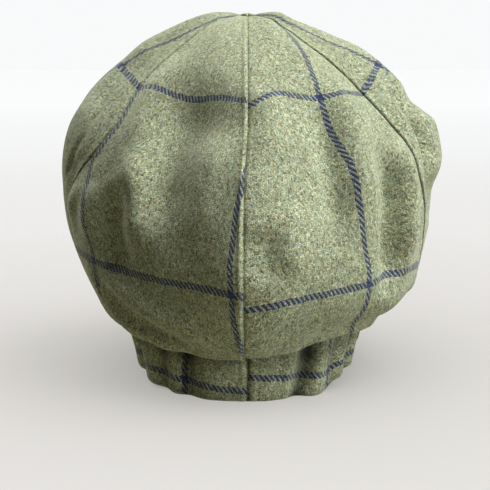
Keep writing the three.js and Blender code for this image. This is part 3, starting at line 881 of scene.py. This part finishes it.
def twill(g, u, v):
    """The floats of a 2/2 twill, each over two yarns: a value of its own, height and navy."""
    i, j = g.calc("FLOOR", u), g.calc("FLOOR", v)
    x, y = g.minus(u, i), g.minus(v, j)
    phase = g.calc("FLOORED_MODULO", g.minus(i, j), 4.0)
    warp = g.calc("LESS_THAN", phase, 1.5)
    before_warp = g.minus(1.0, phase)
    before_weft = g.minus(phase, 2.0)
    along_warp, along_weft = g.plus(before_warp, y), g.plus(before_weft, x)
    run = g.calc("DIVIDE", g.choose(warp, along_warp, along_weft), 2.0)
    aside = g.choose(warp, x, y)
    row = g.choose(warp, g.minus(j, before_warp), j)
    column = g.choose(warp, i, g.minus(i, before_weft))
    own = g.scatter(g.vector(column, row, warp))
    height = g.times(rounded(g, aside, 2.0), rounded(g, run, 4.0))

    lines = []
    for index, period, yarns in zip((i, j), CHECK, NAVY_YARNS):
        turn = g.calc("FLOORED_MODULO", g.plus(index, yarns / 2), float(period))
        lines.append(g.calc("LESS_THAN", turn, yarns - 0.25))
    crossing = g.choose(warp, *lines[::-1])
    navy = g.calc("MAXIMUM", g.choose(warp, *lines), g.times(crossing, CROSSING_NAVY))
    return own, height, navy


def wool_colour(g, u, v, own, navy):
    """The melange and the navy, each blended from a float's own colour and a finer fleck's."""
    flecks = [g.calc("FLOOR", g.times(yarns, FLECKS_A_YARN)) for yarns in (u, v)]
    fleck = g.scatter(g.vector(*flecks, 7.0))
    ground, blue = (g.blend(share, g.ramp(own, stops), g.ramp(fleck, stops))
                    for stops, share in ((MELANGE, 0.55), (NAVY, 0.5)))
    return g.blend(navy, ground, blue)


def shaded(g, colour, height, uneven):
    """The colour, with painted shade between the yarns and where a piece marks painted shade,
    lighter where worn.
    """
    # painted shade between the yarns, from the floats' height
    shade = g.plus(g.times(height, 0.5), BETWEEN_YARNS)
    for source, amount in uneven:
        shade = g.times(shade, g.scaled(source, amount, 1 - amount / 2))
    for mark, amount in SHADED_BY.items():
        shade = g.times(shade, g.scaled(g.mark(mark), amount, 1.0))
    grey = g.node("ShaderNodeCombineColor", {0: shade, 1: shade, 2: shade})[0]
    return g.blend(1.0, colour, grey, "MULTIPLY")


def tweed(name, stitched=False):
    """Heathered 2/2 twill with a navy windowpane, drawn yarn by yarn on the cloth."""
    g = Graph(name)
    uv = g.cloth_place()
    u, v = yarn_places(g, uv)
    own, height, navy = twill(g, u, v)
    fibre_place = g.vector(u, v, g.times(own, 40.0))
    fibre = g.noise(fibre_place, scale=2.6, roughness=0.7)
    cloudy = g.noise(uv, scale=0.035, detail=3.0, roughness=0.6)
    patchy = g.noise(uv, scale=0.3, roughness=0.6)
    colour = shaded(g, wool_colour(g, u, v, own, navy), height,
                    ((fibre, 1.2), (cloudy, 0.3), (patchy, 0.24)))
    fuzz = g.noise(uv, scale=2.2, detail=3.0, roughness=0.7)
    surface = g.plus(height, g.times(fuzz, 0.8))
    normal = g.bump(surface, strength=0.26, distance=0.00035)
    slub = g.noise(uv, scale=0.22, detail=3.0, roughness=0.6)
    normal = g.bump(slub, strength=0.16, distance=0.0012, Normal=normal)
    if stitched:
        colour, normal = stitching(g, colour, normal)
    return g.finished({
        "Base Color": colour, "Normal": normal,
        "Roughness": g.scaled(fibre, -0.14, 1.0), "Specular IOR Level": 0.18,
        "Sheen Weight": 0.22, "Sheen Roughness": 0.55, "Sheen Tint": (0.86, 0.9, 0.74, 1)})


def stitching(g, colour, normal):
    """One row of thread near the peak's edge, sunk a little into the cloth."""
    off = g.calc("ABSOLUTE", g.minus(g.mark("from_edge"), STITCHES["from_edge"]))
    turn = g.calc("FRACT", g.calc("DIVIDE", g.mark("along_edge"), STITCHES["pitch"]))
    on = g.times(g.calc("LESS_THAN", off, STITCHES["half_width"]),
                g.calc("LESS_THAN", turn, STITCHES["run"]))
    slanted = g.plus(turn, g.times(off, 0.35))
    twist = g.calc("FRACT", g.times(slanted, 4.0))
    colour = g.blend(on, colour, g.ramp(twist, THREAD))
    return colour, g.bump(on, strength=0.6, distance=0.0005, Normal=normal)


def lining():
    """Plain dark green satin lining with a fine rib."""
    g = Graph("lining")
    uv = g.cloth_place()
    rib = g.calc("SINE", g.times(g.split(uv)[0], 9.0))
    soft = g.noise(uv, scale=0.12, detail=3.0, roughness=0.6)
    surface = g.plus(g.times(rib, 0.1), soft)
    return g.finished({
        "Base Color": g.ramp(soft, SATIN), "Roughness": g.scaled(soft, 0.2, 0.38),
        "Normal": g.bump(surface, strength=0.4, distance=0.0008)})


def plaster():
    """The pale floor, with a painted light falloff: darker near the cap, and a little lighter and
    cooler with the distance from it.
    """
    g = Graph("pale_floor")
    where = g.node("ShaderNodeTexCoord", {})["Object"]
    away = g.node("ShaderNodeVectorMath", {0: where}, operation="LENGTH")["Value"]
    cloudy = g.noise(where, scale=3.0, detail=3.0, roughness=0.6)
    uneven = g.scaled(cloudy, 0.1, -0.05)
    share = g.calc("DIVIDE", g.plus(away, uneven), FLOOR_FADES_OVER)
    return g.finished({"Base Color": g.ramp(share, PALE_FLOOR), "Roughness": 0.85,
                       "Specular IOR Level": 0.2})


# ---- the scene ----
def make_camera():
    """The photograph's view, from behind and a little downwards."""
    data = bpy.data.cameras.new("camera")
    data.lens = CAMERA["lens"]
    data.sensor_width = CAMERA["sensor"]
    data.clip_start, data.clip_end = CAMERA["sees"]
    camera = bpy.data.objects.new("camera", data)
    camera.location = CAMERA["place"]
    camera.rotation_euler = (math.radians(90 - CAMERA["looks_down"]), 0, math.radians(180))
    bpy.context.scene.collection.objects.link(camera)
    bpy.context.scene.camera = camera


def make_sun(name, toward, spread, strength, colour, only_on):
    """A broad soft light from the direction toward, which falls on the objects of only_on."""
    data = bpy.data.lights.new(name, "SUN")
    data.angle = math.radians(spread)
    data.energy = strength
    data.color = colour
    light = bpy.data.objects.new(name, data)
    light.rotation_mode = "QUATERNION"
    light.rotation_quaternion = Vector(toward).to_track_quat("Z", "Y")
    light.light_linking.receiver_collection = only_on
    bpy.context.scene.collection.objects.link(light)
    return light


def make_world():
    """A faint warm glow all round, and a pale backdrop that only the camera sees."""
    world = bpy.data.worlds.new("studio")
    world.use_nodes = True
    tree = world.node_tree
    glow = tree.nodes["Background"]
    glow.inputs[0].default_value, glow.inputs[1].default_value = GLOW
    seen = tree.nodes.new("ShaderNodeBackground")
    seen.inputs[0].default_value = BACKDROP
    choice = tree.nodes.new("ShaderNodeMixShader")
    path = tree.nodes.new("ShaderNodeLightPath")
    tree.links.new(path.outputs["Is Camera Ray"], choice.inputs[0])
    tree.links.new(glow.outputs[0], choice.inputs[1])
    tree.links.new(seen.outputs[0], choice.inputs[2])
    tree.links.new(choice.outputs[0], tree.nodes["World Output"].inputs[0])
    bpy.context.scene.world = world


def make_floor():
    """The floor, and the collection that its own lights fall on."""
    bpy.ops.mesh.primitive_plane_add(size=60)
    floor = bpy.context.object
    floor.name = "floor"
    floor.data.materials.append(plaster())
    floor.visible_diffuse = False
    ground = bpy.data.collections.new("ground")
    ground.objects.link(floor)
    return ground


def make_studio(cap):
    """Soft light from above and from the right of the view, with lights of the floor's own."""
    make_world()
    ground = make_floor()
    suns = {}
    for lights, only_on in ((CAP_LIGHTS, cap), (FLOOR_LIGHTS, ground)):
        for name, looks in lights.items():
            suns[name] = make_sun(name, *looks, only_on)
    suns["bounce"].light_linking.blocker_collection = cap
    suns["floor_fill"].data.use_shadow = False


def make_pieces():
    """Every piece, with the node of the part that it replaces and that node's slot."""
    cloth, inside, brim = tweed("tweed"), lining(), tweed("tweed_peak", stitched=True)
    pieces = []
    for name, first in PANELS.items():
        pieces.append((crown_panel(name, first, [cloth, inside]), name, "tweed"))
    for name, stretch in BANDS.items():
        pieces.append((band_piece(name, *stretch, [cloth, inside]), name, "tweed"))
    pieces.append((peak_piece([brim, brim]), "peak", "tweed_peak"))
    pieces.append((button_piece([cloth, cloth]), "top_button", "tweed"))
    return pieces


def make_cap():
    """Hands the pieces over to the frame, and gives the collection that holds them."""
    cap = bpy.data.collections.new("cap")
    for piece, node, slot in make_pieces():
        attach(piece, "root")
        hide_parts(node)
        cap.objects.link(piece)
    return cap


make_camera()
make_studio(make_cap())
bpy.context.scene.view_settings.view_transform = "Standard"
